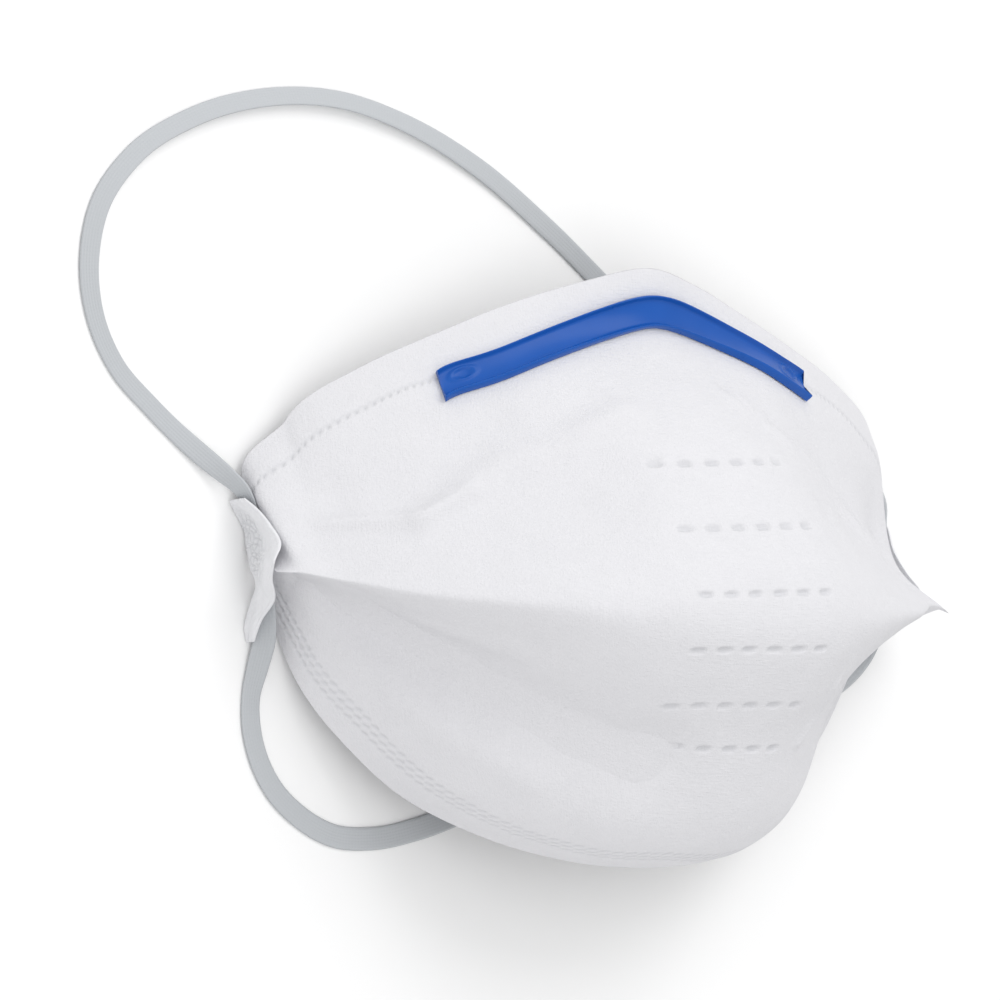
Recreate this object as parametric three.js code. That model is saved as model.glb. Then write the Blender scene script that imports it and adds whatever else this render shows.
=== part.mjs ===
// Folding respirator mask, opened out and lying on its two ear tabs with the opening down.
// Millimetres. +Z points out through the front, +Y to the nose, and the face lies below, towards -Z.
import * as THREE from "three";
import { mergeVertices } from "three/addons/utils/BufferGeometryUtils.js";

// ---- Driving dimensions -------------------------------------------------------------------

// One row for each section across the mask, from the middle to the ear, the same on both sides.
// brow, fold and jaw are the section's points on the nose rim, the front fold and the chin rim.
const EDGES = [
  { brow: [0, 58, 27], fold: [0, -13, 71], jaw: [0, -65, 27] },
  { brow: [14, 55, 24], fold: [17, -13, 70], jaw: [15, -64, 25] },
  { brow: [29, 50, 19], fold: [33, -13, 64], jaw: [31, -60, 19] },
  { brow: [46, 43, 15], fold: [48, -12, 54], jaw: [47, -52, 11] },
  { brow: [61, 36, 11], fold: [63, -11, 41], jaw: [60, -41, 7] },
  { brow: [74, 27, 6], fold: [75, -9, 28], jaw: [69, -30, 4] },
  { brow: [78.2, 13, 2], fold: [82, -8, 22], jaw: [73.5, -17, 0] },
  { brow: [78.8, -4, 0], fold: [86, -8, 18], jaw: [78.8, -4, 0] },
];
// For the same sections, how far the sheet stands out of the straight line between those points.
// soft is 1 where the front fold is round and 0 where it is sharp.
const BULGES = [
  { bridge: -4.5, cheek: 2.5, belly: 4.5, chin: 6.5, soft: 1 },
  { bridge: -3, cheek: 1.5, belly: 4, chin: 6.5, soft: 1 },
  { bridge: 0, cheek: -2, belly: 1, chin: 5, soft: 0.8 },
  { bridge: 0, cheek: -4, belly: -3, chin: 2, soft: 0.5 },
  { bridge: 0, cheek: -5, belly: -6, chin: -1, soft: 0.2 },
  { bridge: 0, cheek: -7, belly: -6, chin: -1, soft: 0 },
  { bridge: 0, cheek: -5, belly: -4, chin: -1, soft: 0 },
  { bridge: -0.8, cheek: -2.8, belly: -2.8, chin: -0.8, soft: 0 },
];
// Where along those lines the bulges stand.
const BRIDGE_AT = 0.12;
const CHEEK_AT = 0.58;
const BELLY_AT = 0.42;
const CHIN_AT = 0.88;

// The sheet is WALL thick, and PINCH thick where it is pinched together at the ears.
const WALL = 1.8;
const PINCH = 4;
const COLUMNS = 48;
const PANEL_STEPS = 15;

// The fold's tip at -X stands higher and further forward than the one at +X by twice this.
const TIP_SKEW = [0, -1.6, -2.2];

// The corner of the nose rim beside the ear at -X flares outwards.
const CORNER_FLARE = 3.2;
const CORNER_AT = -5.75;
const CORNER_REACH = 0.6;

// The clip runs between these two places across the mask, counted in sections.
const CLIP_FROM = -3.12;
const CLIP_TO = 2.85;
// How far the clip's middle line lies in from the nose rim, from the nose to either end.
const CLIP_INSETS = [10.2, 11.4, 12.8, 13.2, 12.6];
const CLIP_INSET_STEP = 0.8;
const CLIP_STEPS = 30;
// The clip's clearance from the sheet.
const SEAT = 0.5;
// One row for each corner of the clip's section: place across it, and height above its seat.
const CLIP_SECTION = [
  { across: -4, up: 0 },
  { across: -2, up: 0 },
  { across: 0, up: 0 },
  { across: 2, up: 0 },
  { across: 4, up: 0 },
  { across: 4.1, up: 1.2 },
  { across: 3.5, up: 1.8 },
  { across: 2.8, up: 1.5 },
  { across: 2.5, up: 0.9 },
  { across: -2.5, up: 0.9 },
  { across: -2.8, up: 1.5 },
  { across: -3.5, up: 1.8 },
  { across: -4.1, up: 1.2 },
];

// One row for each place along an ear tab, from the nose end to the chin end. low and high are
// the tab's two edges on its inner face: how far from the middle of the mask, and how high.
const TAB = [
  { y: 9, low: [82.2, 0], high: [82.2, 2.6] },
  { y: 6.5, low: [82, 0], high: [82, 4.5] },
  { y: 2, low: [81.2, 0.4], high: [81.4, 8.2] },
  { y: -2, low: [80.3, 1.6], high: [81, 11] },
  { y: -6, low: [79.9, 3.4], high: [83, 14] },
  { y: -9, low: [79.7, 5.2], high: [82.2, 13.5] },
  { y: -13, low: [79.8, 2.6], high: [80, 9.2] },
  { y: -17, low: [80, 0.6], high: [80.1, 5.6] },
  { y: -21, low: [79.8, 0], high: [79.8, 2.6] },
];
const TAB_WALL = 1.1;
const TAB_STEPS = 20;
const TAB_HEIGHTS = 6;

// Each band is a chain of places, in the order it is followed from the -X ear. lean turns it about
// its own length, in degrees: 0 lies flat, and 90 stands on its edge.
const BAND_WIDTH = 4.6;
const BAND_WALL = 0.7;
// Height of a band's middle where it lies on the surface under the mask.
const FLOOR = 0.42;
const UPPER_ROUTE = [
  { at: [-80.5, 4, 3.1], lean: 98 },
  { at: [-81.1, 8.5, 3], lean: 96 },
  { at: [-82.3, 11.2, 2.9], lean: 78 },
  { at: [-84.8, 13.4, 2.2], lean: 45 },
  { at: [-90, 15.3, 1], lean: 14 },
  { at: [-98, 20.5, FLOOR], lean: 0 },
  { at: [-106, 26.5, FLOOR], lean: 0 },
  { at: [-115, 34.5, FLOOR], lean: 0 },
  { at: [-121.5, 44, FLOOR], lean: 0 },
  { at: [-123.7, 55, FLOOR], lean: 0 },
  { at: [-121, 68, FLOOR], lean: 0 },
  { at: [-112, 78, FLOOR], lean: 0 },
  { at: [-97.5, 86, FLOOR], lean: 0 },
  { at: [-79, 91, FLOOR], lean: 0 },
  { at: [-61, 91.2, FLOOR], lean: 0 },
  { at: [-44, 87, FLOOR], lean: 0 },
  { at: [-25, 78.3, FLOOR], lean: 0 },
  { at: [-5, 65, FLOOR], lean: 0 },
  { at: [15, 50, FLOOR], lean: 0 },
  { at: [38, 36, FLOOR], lean: 0 },
  { at: [58, 26, FLOOR], lean: 0 },
  { at: [71, 21, FLOOR], lean: 0 },
  { at: [77.5, 17.2, 0.6], lean: -8 },
  { at: [80.6, 12.6, 2.2], lean: -55 },
  { at: [80.9, 8.5, 3], lean: -84 },
  { at: [80.5, 4, 3.1], lean: -82 },
];
const LOWER_ROUTE = [
  { at: [-78.6, -8, 5.4], lean: -75 },
  { at: [-78, -13.5, 4.2], lean: -62 },
  { at: [-77.4, -20, 2.4], lean: -38 },
  { at: [-78, -26, 1.3], lean: -16 },
  { at: [-78.8, -31.5, FLOOR], lean: 0 },
  { at: [-78.6, -38, FLOOR], lean: 0 },
  { at: [-76.8, -44, FLOOR], lean: 0 },
  { at: [-72.5, -50.8, FLOOR], lean: 0 },
  { at: [-65.5, -56.4, FLOOR], lean: 0 },
  { at: [-57, -60, FLOOR], lean: 0 },
  { at: [-47, -60.4, FLOOR], lean: 0 },
  { at: [-35.5, -58.2, FLOOR], lean: 0 },
  { at: [-20, -53, FLOOR], lean: 0 },
  { at: [2, -45.5, FLOOR], lean: 0 },
  { at: [28, -38.5, FLOOR], lean: 0 },
  { at: [50, -33, FLOOR], lean: 0 },
  { at: [64, -28.5, FLOOR], lean: 0 },
  { at: [72, -24, 0.7], lean: 12 },
  { at: [77, -18.5, 2.4], lean: 45 },
  { at: [78.2, -13, 4.2], lean: 65 },
  { at: [78.6, -8, 5.4], lean: 75 },
];
const BAND_STEPS = 76;

// The tables' Y is measured from between the ears. The origin is moved here, to halfway between
// the nose rim and the chin rim.
const MIDDLE_Y = -3.5;

const LAST = EDGES.length - 1;
const FOLD = 3;
const NUDGE = 0.05;
const TIP_HEIGHT = EDGES[LAST].fold[2];
const HALF_WIDTH = EDGES[LAST].fold[0];
const HALF_HEIGHT = (EDGES[0].brow[1] - EDGES[0].jaw[1]) / 2;
const DEPTH = EDGES[0].fold[2];

const SHEET_LOOK = { color: 0xe9e9ee, roughness: 0.9, metalness: 0 };
const CLIP_LOOK = { color: 0x2d60b0, roughness: 0.4, metalness: 0 };
const TAB_LOOK = { color: 0xe4e5e9, roughness: 0.9, metalness: 0 };
const BAND_LOOK = { color: 0xc6cbcf, roughness: 0.7, metalness: 0 };

// ---- The sheet as a surface ---------------------------------------------------------------

/** A smooth hump: 1 in the middle, and 0 at -1, at 1 and beyond. */
function bump(t) {
  return Math.max(0, 1 - t * t) ** 2;
}

/** Slope at each knot of a smooth curve through the values. */
function slopes(knots, values) {
  const last = knots.length - 1;
  return values.map((value, i) => {
    const before = i > 0 ? (value - values[i - 1]) / (knots[i] - knots[i - 1]) : null;
    const after = i < last ? (values[i + 1] - value) / (knots[i + 1] - knots[i]) : null;
    if (before === null) return after;
    if (after === null) return before;
    const share = (knots[i] - knots[i - 1]) / (knots[i + 1] - knots[i - 1]);
    return before * (1 - share) + after * share;
  });
}

/** A point between two knots, from their values and slopes. */
function between(knots, values, slopeOut, slopeIn, i, at) {
  const step = knots[i + 1] - knots[i];
  const t = (at - knots[i]) / step;
  const a = (1 + 2 * t) * (1 - t) * (1 - t);
  const b = t * (1 - t) * (1 - t) * step;
  const c = t * t * (3 - 2 * t);
  const d = t * t * (t - 1) * step;
  return a * values[i] + b * slopeOut[i] + c * values[i + 1] + d * slopeIn[i + 1];
}

/** The span of the knots that holds the place. */
function spanOf(knots, at) {
  let i = 0;
  while (i < knots.length - 2 && at > knots[i + 1]) i += 1;
  return i;
}

/** A smooth curve through the values. */
function curve(knots, values, at) {
  const slope = slopes(knots, values);
  return between(knots, values, slope, slope, spanOf(knots, at), at);
}

/** One number of a table at a place across the mask, from -LAST at one ear to LAST at the other. */
function column(table, read, across, odd = false) {
  const half = table.map(read);
  const otherHalf = half.slice(1).reverse();
  const values = [...otherHalf.map((value) => (odd ? -value : value)), ...half];
  const knots = values.map((_, i) => i - LAST);
  return curve(knots, values, across);
}

/** A rim or fold point of the section at a place across the mask. */
function edgePoint(name, across) {
  const point = new THREE.Vector3(
    column(EDGES, (row) => row[name][0], across, true),
    column(EDGES, (row) => row[name][1], across),
    column(EDGES, (row) => row[name][2], across),
  );
  if (name === "brow") point.x -= CORNER_FLARE * bump((across - CORNER_AT) / CORNER_REACH);
  if (name !== "fold") return point;
  return point.addScaledVector(new THREE.Vector3(...TIP_SKEW), (across / LAST) ** 3);
}

/** A point beside the straight line from one edge point to another, moved out of it. */
function beside(across, fromName, toName, share, out) {
  const place = (where) => edgePoint(fromName, where).lerp(edgePoint(toName, where), share);
  const along = edgePoint(toName, across).sub(edgePoint(fromName, across));
  const limit = LAST - NUDGE;
  const middle = THREE.MathUtils.clamp(across, -limit, limit);
  const sideways = place(middle + NUDGE).sub(place(middle - NUDGE));
  const outward = sideways.cross(along.negate()).normalize();
  const ear = new THREE.Vector3(Math.sign(across), 0, 0);
  outward.lerp(ear, THREE.MathUtils.smoothstep(Math.abs(across), LAST - 1, LAST)).normalize();
  return place(across).addScaledVector(outward, out);
}

/** How far a point beside the line is moved at a place across the mask. */
function bulge(name, across) {
  return column(BULGES, (row) => row[name], across);
}

/** Distances along a chain of points, from its first point. */
function chainKnots(points) {
  const knots = [0];
  points.slice(1).forEach((point, i) => knots.push(knots[i] + point.distanceTo(points[i])));
  return knots;
}

const sectionCache = new Map();

/** The seven points that shape one section, nose rim first, with the slopes between them. */
function sectionAt(across) {
  if (sectionCache.has(across)) return sectionCache.get(across);
  const points = [
    edgePoint("brow", across),
    beside(across, "brow", "fold", BRIDGE_AT, bulge("bridge", across)),
    beside(across, "brow", "fold", CHEEK_AT, bulge("cheek", across)),
    edgePoint("fold", across),
    beside(across, "fold", "jaw", BELLY_AT, bulge("belly", across)),
    beside(across, "fold", "jaw", CHIN_AT, bulge("chin", across)),
    edgePoint("jaw", across),
  ];
  const knots = chainKnots(points);
  const soft = THREE.MathUtils.clamp(bulge("soft", across), 0, 1);
  const axes = ["x", "y", "z"].map((axis) => {
    const values = points.map((point) => point[axis]);
    const slope = slopes(knots, values);
    const slopeOut = [...slope];
    const slopeIn = [...slope];
    const sharpIn = (values[FOLD] - values[FOLD - 1]) / (knots[FOLD] - knots[FOLD - 1]);
    const sharpOut = (values[FOLD + 1] - values[FOLD]) / (knots[FOLD + 1] - knots[FOLD]);
    slopeIn[FOLD] = THREE.MathUtils.lerp(sharpIn, slope[FOLD], soft);
    slopeOut[FOLD] = THREE.MathUtils.lerp(sharpOut, slope[FOLD], soft);
    return { values, slopeOut, slopeIn };
  });
  const section = { knots, axes };
  sectionCache.set(across, section);
  return section;
}

/** A point of the sheet: down is 0 at the nose rim, 1 at the front fold and 2 at the chin rim. */
function sheetPoint(across, down) {
  const { knots, axes } = sectionAt(across);
  const foldAt = knots[FOLD];
  const length = knots.at(-1);
  const at = down <= 1 ? down * foldAt : foldAt + (down - 1) * (length - foldAt);
  const i = spanOf(knots, at);
  const [x, y, z] = axes.map((axis) => between(knots, axis.values, axis.slopeOut, axis.slopeIn, i, at));
  return new THREE.Vector3(x, y, Math.max(z, 0));
}

// ---- Making closed solids -----------------------------------------------------------------

/** A mesh from points and faces of three or four corners. */
function solid(name, points, faces, look) {
  const corners = [];
  for (const face of faces) {
    for (let i = 1; i < face.length - 1; i += 1) corners.push(face[0], face[i], face[i + 1]);
  }
  const loose = new THREE.BufferGeometry();
  loose.setAttribute("position", new THREE.Float32BufferAttribute(points.flatMap((p) => p.toArray()), 3));
  loose.setIndex(corners);
  const geometry = mergeVertices(loose, 1e-3);
  const kept = [];
  for (let i = 0; i < geometry.index.count; i += 3) {
    const [a, b, c] = [0, 1, 2].map((k) => geometry.index.getX(i + k));
    if (a !== b && b !== c && c !== a) kept.push(a, b, c);
  }
  geometry.setIndex(kept);
  geometry.translate(0, -MIDDLE_Y, 0);
  geometry.computeVertexNormals();
  const mesh = new THREE.Mesh(geometry, new THREE.MeshStandardMaterial(look));
  mesh.name = name;
  return mesh;
}

/** Faces between the rows of a grid of points, four corners each. */
function gridFaces(rows, columns, first = 0, turned = false) {
  const faces = [];
  for (let r = 0; r < rows - 1; r += 1) {
    for (let c = 0; c < columns - 1; c += 1) {
      const corner = first + r * columns + c;
      const face = [corner, corner + 1, corner + columns + 1, corner + columns];
      faces.push(turned ? face.reverse() : face);
    }
  }
  return faces;
}

// ---- The filter sheet ---------------------------------------------------------------------

/** One sheet bent round the face: its outer side, its inner side, and the rim that joins them. */
function filterBody() {
  const places = Array.from({ length: COLUMNS + 1 }, (_, i) => LAST * ((2 * i) / COLUMNS - 1));
  const downs = Array.from({ length: 2 * PANEL_STEPS + 1 }, (_, i) => i / PANEL_STEPS);
  const outer = downs.flatMap((down) => places.map((across) => sheetPoint(across, down)));
  const shrink = new THREE.Vector3(1 - PINCH / HALF_WIDTH, 1 - WALL / HALF_HEIGHT, 1 - WALL / DEPTH);
  const inner = outer.map((point) => point.clone().multiply(shrink));
  const rows = downs.length;
  const columns = places.length;
  const count = rows * columns;
  const faces = [...gridFaces(rows, columns, 0, true), ...gridFaces(rows, columns, count)];
  for (let c = 0; c < columns - 1; c += 1) {
    faces.push([c, c + 1, count + c + 1, count + c]);
    const low = count - columns + c;
    faces.push([low, count + low, count + low + 1, low + 1]);
  }
  return solid("filter_body", [...outer, ...inner], faces, SHEET_LOOK);
}

// ---- The nose clip ------------------------------------------------------------------------

/** How far down the section a distance from the nose rim is. */
function downFromRim(across, distance) {
  return distance / sectionAt(across).knots[FOLD];
}

/** The way out of the sheet at a place. */
function outwardAt(across, down) {
  const along = sheetPoint(across + NUDGE, down).sub(sheetPoint(across - NUDGE, down));
  const over = sheetPoint(across, down + NUDGE).sub(sheetPoint(across, down));
  return over.cross(along).normalize();
}

/** The faces between rings of points that follow each other, open at both ends. */
function ringFaces(rings) {
  const corners = rings[0].length;
  const faces = [];
  for (let r = 0; r < rings.length - 1; r += 1) {
    for (let c = 0; c < corners; c += 1) {
      const next = (c + 1) % corners;
      faces.push([r * corners + c, r * corners + next, (r + 1) * corners + next, (r + 1) * corners + c]);
    }
  }
  return faces;
}

/** How far in from the nose rim the clip's middle line is at a place across the mask. */
function clipInset(across) {
  const values = [...CLIP_INSETS.slice(1).reverse(), ...CLIP_INSETS];
  const knots = values.map((_, i) => (i - CLIP_INSETS.length + 1) * CLIP_INSET_STEP);
  return curve(knots, values, across);
}

/** The bendable strip over the nose: a flat middle between two rounded beads. */
function noseClip() {
  const rings = Array.from({ length: CLIP_STEPS + 1 }, (_, i) => {
    const across = THREE.MathUtils.lerp(CLIP_FROM, CLIP_TO, i / CLIP_STEPS);
    const inset = clipInset(across);
    return CLIP_SECTION.map((corner) => {
      const down = downFromRim(across, inset - corner.across);
      return sheetPoint(across, down).addScaledVector(outwardAt(across, down), SEAT + corner.up);
    });
  });
  const faces = ringFaces(rings);
  faces.push(...clipEnd(0, false), ...clipEnd(CLIP_STEPS * CLIP_SECTION.length, true));
  return solid("nose_clip", rings.flat(), faces, CLIP_LOOK);
}

/** The clip's end face, as strips between its seat and its top. */
function clipEnd(first, turned) {
  const strips = [[0, 1, 9, 10], [0, 10, 11, 12], [1, 2, 9], [2, 3, 8, 9], [3, 4, 7, 8], [4, 5, 6, 7]];
  return strips.map((strip) => {
    const face = strip.map((corner) => first + corner);
    return turned ? face : face.reverse();
  });
}

// ---- The ear tabs -------------------------------------------------------------------------

/** The flap at an ear that holds the ends of both headbands against the sheet. */
function earTab(name, side) {
  const knots = TAB.map((row) => -row.y);
  const rows = [];
  for (let i = 0; i <= TAB_STEPS; i += 1) {
    const at = THREE.MathUtils.lerp(knots[0], knots.at(-1), i / TAB_STEPS);
    const read = (pick) => curve(knots, TAB.map(pick), at);
    const low = new THREE.Vector3(read((r) => r.low[0]), -at, read((r) => r.low[1]));
    const high = new THREE.Vector3(read((r) => r.high[0]), -at, read((r) => r.high[1]));
    rows.push({ low, high });
  }
  const skew = new THREE.Vector3(...TIP_SKEW);
  const face = (out) => rows.flatMap(({ low, high }) => Array.from({ length: TAB_HEIGHTS + 1 }, (_, h) => {
    const share = h / TAB_HEIGHTS;
    const point = low.clone().lerp(high, share);
    const up = high.clone().sub(low);
    const outward = new THREE.Vector3(up.z, 0, -up.x).normalize();
    point.addScaledVector(outward, out);
    point.x *= side;
    point.addScaledVector(skew, (side * point.z) / TIP_HEIGHT);
    return point.setZ(Math.max(point.z, 0));
  }));
  const columns = TAB_HEIGHTS + 1;
  const count = rows.length * columns;
  const faces = [...gridFaces(rows.length, columns, 0), ...gridFaces(rows.length, columns, count, true)];
  for (let r = 0; r < rows.length - 1; r += 1) {
    const low = r * columns;
    const high = low + columns - 1;
    faces.push([low, low + columns, count + low + columns, count + low]);
    faces.push([high, count + high, count + high + columns, high + columns]);
  }
  for (let h = 0; h < columns - 1; h += 1) {
    const end = count - columns + h;
    faces.push([h, count + h, count + h + 1, h + 1]);
    faces.push([end, end + 1, count + end + 1, count + end]);
  }
  const set = side > 0 ? faces.map((corners) => [...corners].reverse()) : faces;
  return solid(name, [...face(0), ...face(TAB_WALL)], set, TAB_LOOK);
}

// ---- The headbands ------------------------------------------------------------------------

/** A flat elastic band laid along its route. */
function headband(name, route) {
  const places = route.map((stop) => new THREE.Vector3(...stop.at));
  const knots = chainKnots(places);
  const placeAt = (at) => new THREE.Vector3(
    ...["x", "y", "z"].map((axis) => curve(knots, places.map((place) => place[axis]), at)),
  );
  const length = knots.at(-1);
  const rings = Array.from({ length: BAND_STEPS + 1 }, (_, i) => {
    const at = (length * i) / BAND_STEPS;
    const centre = placeAt(at);
    const ahead = placeAt(Math.min(at + NUDGE, length)).sub(placeAt(Math.max(at - NUDGE, 0)));
    const sideways = new THREE.Vector3(ahead.y, -ahead.x, 0).normalize();
    const lean = THREE.MathUtils.degToRad(curve(knots, route.map((stop) => stop.lean), at));
    const wide = sideways.multiplyScalar(Math.cos(lean)).add(new THREE.Vector3(0, 0, Math.sin(lean)));
    const thick = wide.clone().cross(ahead).normalize();
    const corner = (w, t) => {
      const point = centre.clone().addScaledVector(wide, (w * BAND_WIDTH) / 2);
      point.addScaledVector(thick, (t * BAND_WALL) / 2);
      return point.setZ(Math.max(point.z, FLOOR - BAND_WALL / 2));
    };
    return [corner(-1, 1), corner(0, 1), corner(1, 1), corner(1, -1), corner(0, -1), corner(-1, -1)];
  });
  const faces = ringFaces(rings);
  const last = BAND_STEPS * rings[0].length;
  faces.push([5, 4, 1, 0], [4, 3, 2, 1]);
  faces.push([last, last + 1, last + 4, last + 5], [last + 1, last + 2, last + 3, last + 4]);
  return solid(name, rings.flat(), faces, BAND_LOOK);
}

const mask = new THREE.Group();
mask.add(filterBody());
mask.add(noseClip());
mask.add(earTab("left_tab", -1));
mask.add(earTab("right_tab", 1));
mask.add(headband("upper_headband", UPPER_ROUTE));
mask.add(headband("lower_headband", LOWER_ROUTE));

export default mask;
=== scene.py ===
# %% [markdown]
# # A folding respirator mask, opened out and set down on its rim
# The real object is one soft white sheet of pressed nonwoven cloth that folds flat along its middle.
# Opened, it makes a deep cup. A bendable plastic clip runs over the nose, a small flap at each ear
# holds the ends of two flat elastic headbands, and the bands lie loose beside and under the cup.
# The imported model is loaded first, because every piece made here has to sit where its solid sits.

import bmesh
import bpy
import numpy as np
from mathutils import Matrix, Vector, noise


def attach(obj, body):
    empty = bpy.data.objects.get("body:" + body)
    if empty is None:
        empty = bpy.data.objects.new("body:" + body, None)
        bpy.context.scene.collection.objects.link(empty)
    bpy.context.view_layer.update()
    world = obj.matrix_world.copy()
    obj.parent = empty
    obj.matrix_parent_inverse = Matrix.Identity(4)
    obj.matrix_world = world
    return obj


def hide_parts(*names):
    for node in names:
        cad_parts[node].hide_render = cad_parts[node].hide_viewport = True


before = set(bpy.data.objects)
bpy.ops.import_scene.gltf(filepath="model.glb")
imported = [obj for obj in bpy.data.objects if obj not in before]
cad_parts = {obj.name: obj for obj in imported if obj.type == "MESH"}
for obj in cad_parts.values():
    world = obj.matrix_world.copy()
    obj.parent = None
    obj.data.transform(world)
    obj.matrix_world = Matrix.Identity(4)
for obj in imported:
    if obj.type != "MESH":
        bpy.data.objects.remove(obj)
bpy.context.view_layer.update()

MILLIMETRE = 0.001
MIDDLE_Y = -3.5


def to_metres(points):
    """Turns the mask maker's millimetres, measured from between the ears, into the model's metres."""
    points = np.asarray(points, float) - np.array([0, MIDDLE_Y, 0])
    return points * MILLIMETRE


print("solids to stand in for:", sorted(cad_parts))

# %% [markdown]
# ## The camera
# The mask is looked at from over its left ear, half way down to the surface, with the nose at the
# top of the picture. A far camera with a long lens keeps the cup's sides nearly parallel, as in a
# catalogue picture. Three directions that stand square to each other say how the camera is turned.

# %% Place the camera
PICTURE_RIGHT = Vector((0.799, 0.027, 0.600))
PICTURE_UP = Vector((-0.0246, 1.0, -0.0102))
PICTURE_WIDTH = 0.2049
CAMERA_DISTANCE = 8.0
PICTURE_MIDDLE = (-0.0126, 0.01365)
CUP_MIDDLE_HEIGHT = 0.028

up = PICTURE_UP.normalized()
right = (PICTURE_RIGHT - PICTURE_RIGHT.dot(up) * up).normalized()
towards_camera = right.cross(up)
target = right * PICTURE_MIDDLE[0] + up * PICTURE_MIDDLE[1] + towards_camera * CUP_MIDDLE_HEIGHT

camera_data = bpy.data.cameras.new("catalogue_camera")
camera_data.sensor_width = 36
camera_data.lens = camera_data.sensor_width * CAMERA_DISTANCE / PICTURE_WIDTH
camera_data.clip_start = 0.05
camera_data.clip_end = 50
camera = bpy.data.objects.new("catalogue_camera", camera_data)
bpy.context.scene.collection.objects.link(camera)
turn = Matrix((right, up, towards_camera)).transposed().to_4x4()
camera.matrix_world = Matrix.Translation(target + towards_camera * CAMERA_DISTANCE) @ turn
bpy.context.scene.camera = camera
print("camera lens", round(camera_data.lens), "mm, at", [round(v, 3) for v in camera.location])

# %% [markdown]
# ## Floor and light
# White cloth on a white floor shows only by its shading, so the light is soft and nearly even. A
# bright sky fills every fold, and one large lamp on the nose side makes the upper half of the cup a
# little brighter than the lower half. Colours are shown as they are, with no film curve over them.

# %% Make the floor, the sky and the lamps
FLOOR_SIZE = 8.0
FLOOR_WHITE = (0.93, 0.93, 0.93, 1)
FLOOR_DULLNESS, FLOOR_GLINT = 0.9, 0.1
SKY_STRENGTH = 0.80
LAMP_AIM = Vector((0, 0, 0.03))


def plain_node_material(name):
    """A new material with its main shader, and that shader's sockets for short."""
    material = bpy.data.materials.new(name)
    material.use_nodes = True
    shader = material.node_tree.nodes["Principled BSDF"]
    return material, shader


def floor_plane():
    """A square of pale paper, far larger than the picture."""
    half = FLOOR_SIZE / 2
    mesh = bpy.data.meshes.new("studio_floor")
    corners = [(-half, -half, 0), (half, -half, 0), (half, half, 0), (-half, half, 0)]
    mesh.from_pydata(corners, [], [(0, 1, 2, 3)])
    plane = bpy.data.objects.new("studio_floor", mesh)
    bpy.context.scene.collection.objects.link(plane)
    material, shader = plain_node_material("floor_paper")
    shader.inputs["Base Color"].default_value = FLOOR_WHITE
    shader.inputs["Roughness"].default_value = FLOOR_DULLNESS
    shader.inputs["Specular IOR Level"].default_value = FLOOR_GLINT
    mesh.materials.append(material)
    return plane


def soft_lamp(name, place, size, power):
    """A square lamp that faces the middle of the mask."""
    light = bpy.data.lights.new(name, "AREA")
    light.size = size
    light.energy = power
    lamp = bpy.data.objects.new(name, light)
    lamp.location = place
    lamp.rotation_euler = (LAMP_AIM - Vector(place)).to_track_quat("-Z", "Y").to_euler()
    bpy.context.scene.collection.objects.link(lamp)


floor_plane()
sky = bpy.data.worlds.new("studio_sky")
sky.use_nodes = True
sky.node_tree.nodes["Background"].inputs["Color"].default_value = (1, 1, 1, 1)
sky.node_tree.nodes["Background"].inputs["Strength"].default_value = SKY_STRENGTH
bpy.context.scene.world = sky
soft_lamp("nose_side_lamp", (0.15, 0.95, 1.05), 0.9, 6.5)
soft_lamp("front_lamp", (-0.55, -0.1, 1.3), 1.2, 4)
bpy.context.scene.view_settings.view_transform = "Standard"
print("sky strength", SKY_STRENGTH)

# %% [markdown]
# ## Smooth curves through a few numbers
# Bands, clip and sheet are all drawn as smooth curves through short tables. A curve that passes
# through its numbers is easier to fit than one that is only pulled towards them, so each
# stretch is a cubic with the same slope as its neighbours where they meet.

# %% Curve helpers
TINY = 1e-9


def slopes(knots, values):
    """Slope of the curve at each knot. values may hold one number or one point for each knot."""
    steps = np.diff(knots)
    rise = np.diff(values, axis=0) / steps.reshape((-1,) + (1,) * (np.ndim(values) - 1))
    share = (steps[:-1] / (steps[:-1] + steps[1:])).reshape((-1,) + (1,) * (np.ndim(values) - 1))
    inside = rise[:-1] * (1 - share) + rise[1:] * share
    return np.concatenate([rise[:1], inside, rise[-1:]])


def between(knots, values, slope_out, slope_in, at):
    """Values of the curve at many places."""
    at = np.asarray(at, float)
    span = np.clip(np.searchsorted(knots, at, side="right") - 1, 0, len(knots) - 2)
    step = knots[span + 1] - knots[span]
    t = (at - knots[span]) / step
    shape = at.shape + (1,) * (np.ndim(values) - 1)
    t, step = t.reshape(shape), step.reshape(shape)
    return (
        (1 + 2 * t) * (1 - t) ** 2 * values[span]
        + t * (1 - t) ** 2 * step * slope_out[span]
        + t**2 * (3 - 2 * t) * values[span + 1]
        + t**2 * (t - 1) * step * slope_in[span + 1]
    )


def curve(knots, values, at):
    """A smooth curve through one value for each knot."""
    knots, values = np.asarray(knots, float), np.asarray(values, float)
    slope = slopes(knots, values)
    return between(knots, values, slope, slope, at)


def chain_knots(points):
    """Distance along a chain of points, from its first point."""
    return np.concatenate([[0], np.cumsum(np.linalg.norm(np.diff(points, axis=0), axis=1))])


def unit(vectors):
    """Vectors of length one that point the same way."""
    return vectors / np.maximum(np.linalg.norm(vectors, axis=-1, keepdims=True), TINY)


print("a curve through 0, 1, 0 is", round(float(curve([0, 1, 2], [0, 1, 0], 0.5)), 3), "half way up")

# %% [markdown]
# ## From a grid of points to a mesh
# Every soft piece here is a grid of points: so many rows, so many columns. One helper turns grids
# into meshes, keeps a flat map in millimetres for the weave, and keeps named numbers for each point,
# such as how hard the cloth is pressed there, which the materials read later.

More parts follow.
